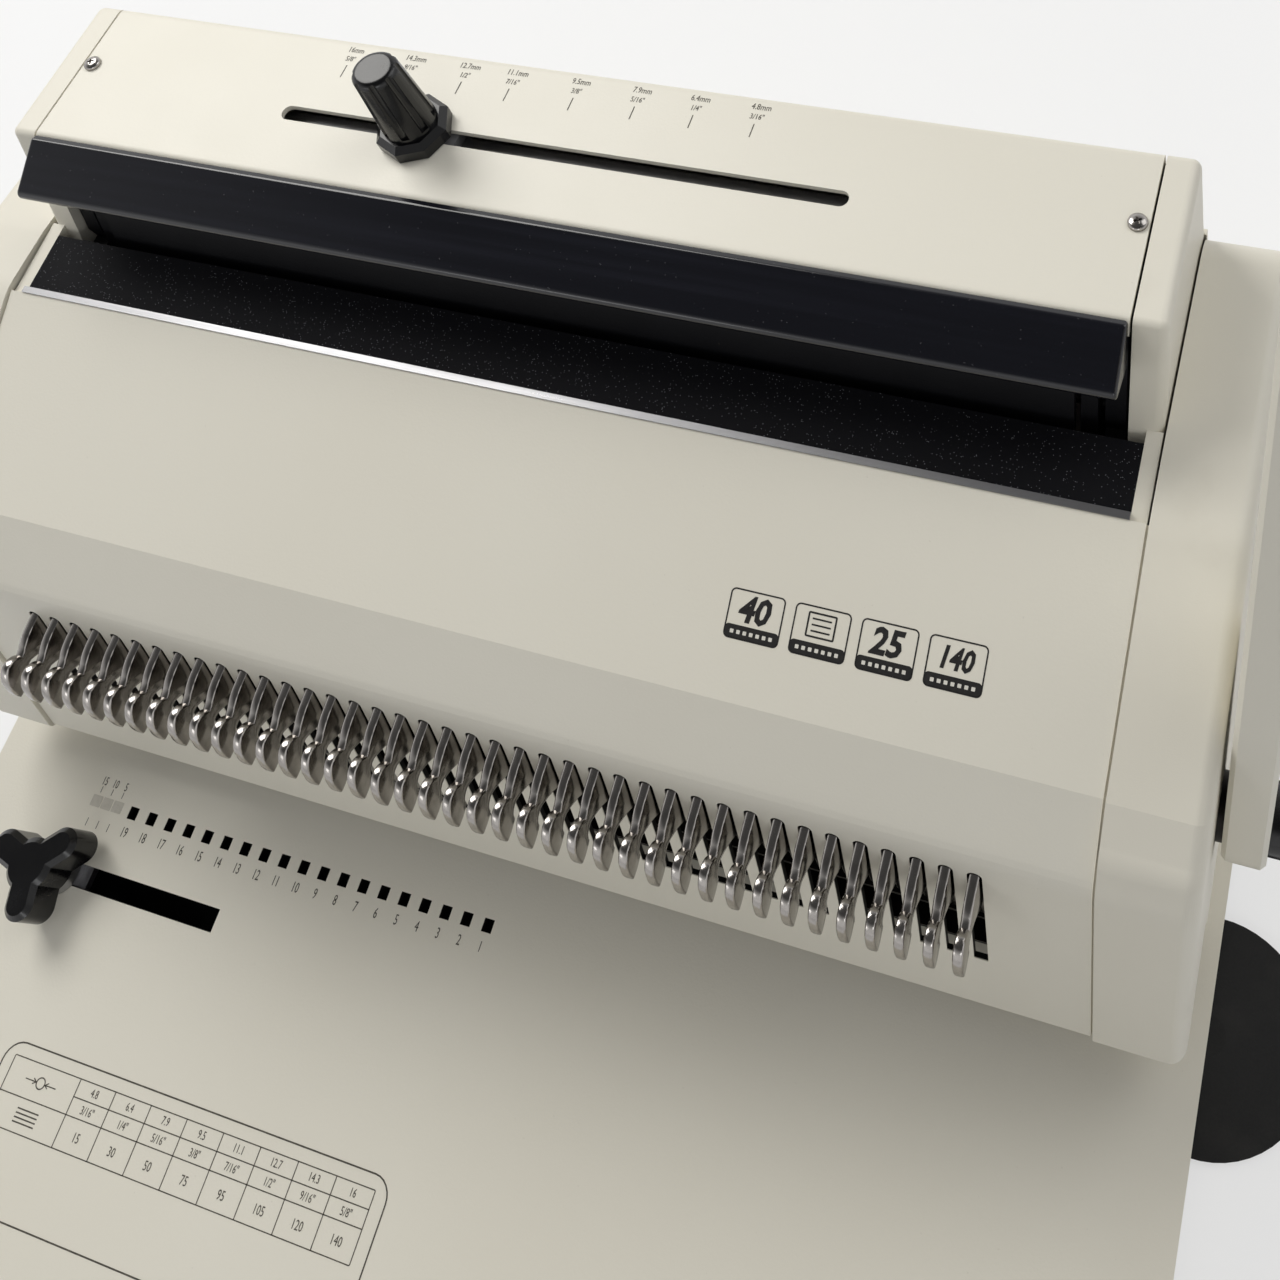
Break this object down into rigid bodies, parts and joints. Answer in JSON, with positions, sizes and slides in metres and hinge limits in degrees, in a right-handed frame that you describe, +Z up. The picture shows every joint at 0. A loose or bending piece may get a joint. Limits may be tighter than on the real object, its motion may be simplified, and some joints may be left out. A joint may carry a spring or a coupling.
{
  "type": "wire binding machine",
  "caption": "Table-top manual machine that punches a sheet's edge through a slotted die and closes double-loop wire, with a side lever, wire fingers and press bar.",
  "frame": {"origin": "middle of the machine's footprint on the floor it stands on", "axes": "+X to the operator's right, towards the lever; +Y to the back of the machine; +Z up"},
  "size_m": [0.5359, 0.394, 0.4323],
  "materials": {
    "ivory_paint": "satin",
    "ivory_plastic": "satin",
    "chrome": "polished",
    "steel": "brushed",
    "dark_steel": "satin",
    "black_bar": "gloss",
    "black_strip": "matte",
    "aluminium": "satin",
    "black_plastic": "gloss",
    "black_rubber": "matte",
    "grey_plastic": "matte",
    "brass": "machined"
  },
  "bodies": {
    "base": {"base_pan": "ivory_paint", "table_plate": "ivory_paint", "front_panel": "ivory_paint", "head_panel": "ivory_paint", "rear_cover": "ivory_paint", "right_side_cover": "ivory_plastic", "left_side_cover": "ivory_plastic", "right_head_cap": "ivory_plastic", "left_head_cap": "ivory_plastic", "wire_fingers": "chrome", "head_screws": "chrome", "finger_rod": "steel", "tie_rods": "steel", "die_plate": "steel", "stripper_plate": "steel", "paper_stop": "steel", "guide_posts": "steel", "carriage_rail": "steel", "drawer_runners": "steel", "right_frame_plate": "dark_steel", "left_frame_plate": "dark_steel", "guide_face": "dark_steel", "link_studs": "dark_steel", "magnetic_strip": "black_strip", "anvil_rail": "aluminium", "suction_feet": "black_rubber", "front_pads": "black_rubber", "shaft_bushes": "brass"},
    "handle": {"main_shaft": "steel", "punch_cams": "steel", "press_cams": "steel", "handle_arm": "ivory_paint", "handle_grip": "black_rubber", "hub_cap": "black_plastic"},
    "punch": {"punch_holder": "steel", "punch_pins": "steel", "punch_rollers": "steel", "punch_roller_pins": "steel"},
    "press": {"press_bar": "black_bar", "press_links": "dark_steel", "press_rollers": "steel", "press_roller_pins": "steel"},
    "size_slide": {"stop_carriage": "grey_plastic", "size_stud": "steel"},
    "size_clamp": {"size_knob": "black_plastic"},
    "edge_guide": {"guide_collar": "steel", "guide_stud": "steel", "guide_clamp": "steel"},
    "guide_clamp_knob": {"guide_knob": "black_plastic"},
    "drawer": {"waste_drawer": "grey_plastic"}
  },
  "joints": [
    {"name": "handle_pull", "type": "hinge", "parent": "base", "child": "handle", "pos_m": [0.236, 0.034, 0.118], "axis": [1, 0, 0], "range_deg": [0, 85], "stiffness_Nm_per_rad": 0.8, "springref_deg": -51.57},
    {"name": "punch_slide", "type": "slide", "parent": "base", "child": "punch", "axis": [0, 0, -1], "range_m": [0, 0.013]},
    {"name": "press_slide", "type": "slide", "parent": "base", "child": "press", "axis": [0, -0.4104, -0.9119], "range_m": [0, 0.0215]},
    {"name": "size_shift", "type": "slide", "parent": "base", "child": "size_slide", "axis": [1, 0, 0], "range_m": [-0.0492, 0.1452]},
    {"name": "size_knob_turn", "type": "hinge", "parent": "size_slide", "child": "size_clamp", "pos_m": [-0.049, 0.15881, 0.22687], "axis": [0, 0.0889, 0.996], "continuous": true},
    {"name": "guide_shift", "type": "slide", "parent": "base", "child": "edge_guide", "axis": [1, 0, 0], "range_m": [-0.0164, 0.0621]},
    {"name": "guide_knob_turn", "type": "hinge", "parent": "edge_guide", "child": "guide_clamp_knob", "pos_m": [-0.184, -0.0792, 0.0535], "axis": [0, 0, 1], "continuous": true},
    {"name": "drawer_pull", "type": "slide", "parent": "base", "child": "drawer", "axis": [-1, 0, 0], "range_m": [0, 0.25]}
  ],
  "couplings": [
    {"joint": "punch_slide", "follows": "handle_pull", "m_per_rad": 0.0087628},
    {"joint": "press_slide", "follows": "handle_pull", "m_per_rad": 0.014492}
  ]
}
